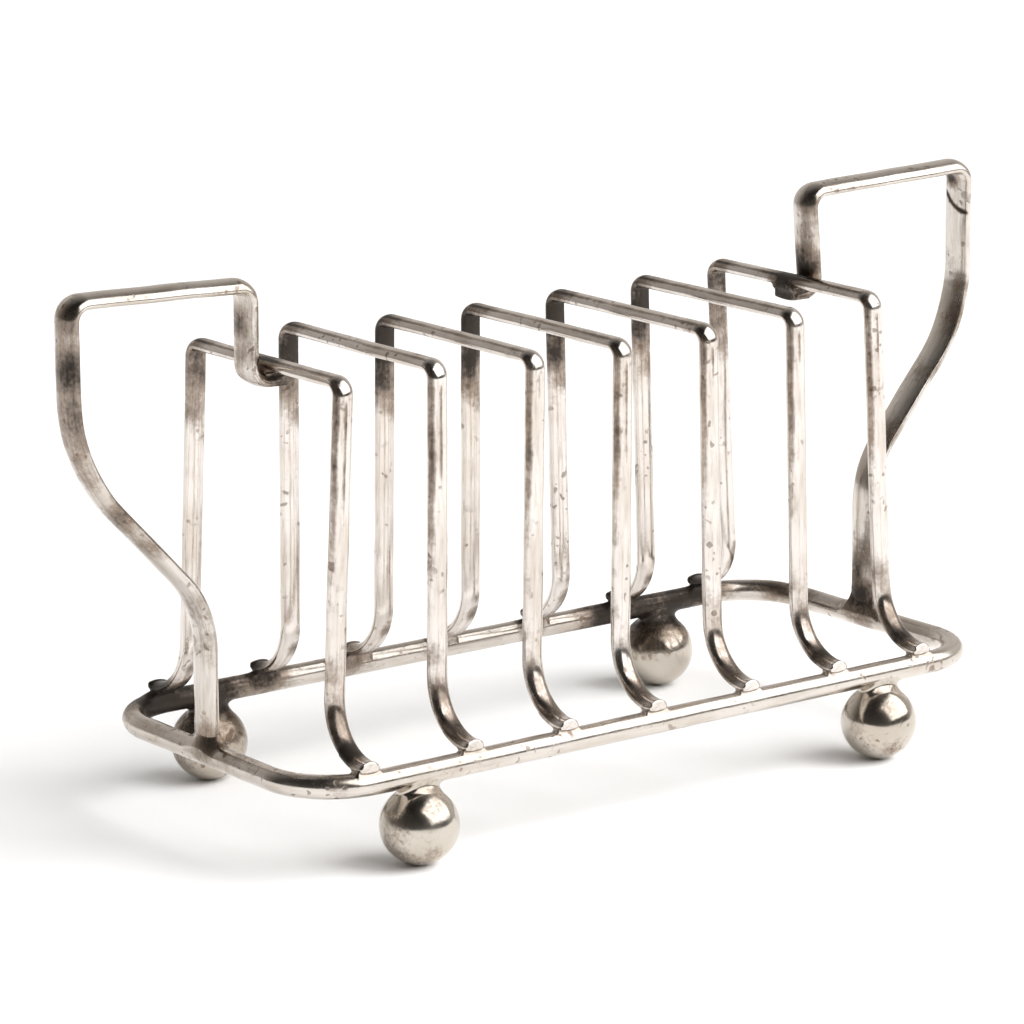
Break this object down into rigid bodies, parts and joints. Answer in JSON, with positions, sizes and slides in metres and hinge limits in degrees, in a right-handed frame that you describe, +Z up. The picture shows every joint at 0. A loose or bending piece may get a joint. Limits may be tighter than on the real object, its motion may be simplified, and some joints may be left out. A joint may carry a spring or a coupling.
{
  "type": "toast rack",
  "caption": "Wire toast rack: half-round hoops soldered across an oblong base ring on ball feet, with a loop handle rising from each end.",
  "frame": {"origin": "on the table surface, under the centre of the overall box", "axes": "+X along the length, +Y across the hoops, +Z up"},
  "size_m": [0.1746, 0.0678, 0.0885],
  "materials": {
    "hoop_wire": "worn silver plate, pitted and lightly tarnished",
    "base_wire": "worn silver plate, brown-black tarnish towards the joints",
    "handle_wire": "worn silver plate, finely scratched",
    "ball": "polished silver plate, tarnished under the rail",
    "solder": "old soft solder, plated over and dark with tarnish"
  },
  "bodies": {
    "root": {"base_ring": "base_wire", "hoop_1": "hoop_wire", "hoop_2": "hoop_wire", "hoop_3": "hoop_wire", "hoop_4": "hoop_wire", "hoop_5": "hoop_wire", "hoop_6": "hoop_wire", "hoop_7": "hoop_wire", "handle_left": "handle_wire", "handle_right": "handle_wire", "ball_foot_near_left": "ball", "ball_foot_near_right": "ball", "ball_foot_far_left": "ball", "ball_foot_far_right": "ball", "solder_foot_near_1": "solder", "solder_foot_near_2": "solder", "solder_foot_near_3": "solder", "solder_foot_near_4": "solder", "solder_foot_near_5": "solder", "solder_foot_near_6": "solder", "solder_foot_near_7": "solder", "solder_foot_far_1": "solder", "solder_foot_far_2": "solder", "solder_foot_far_3": "solder", "solder_foot_far_4": "solder", "solder_foot_far_5": "solder", "solder_foot_far_6": "solder", "solder_foot_far_7": "solder", "solder_handle_left": "solder", "solder_handle_right": "solder", "solder_hook_left": "solder", "solder_hook_right": "solder"}
  },
  "joints": []
}
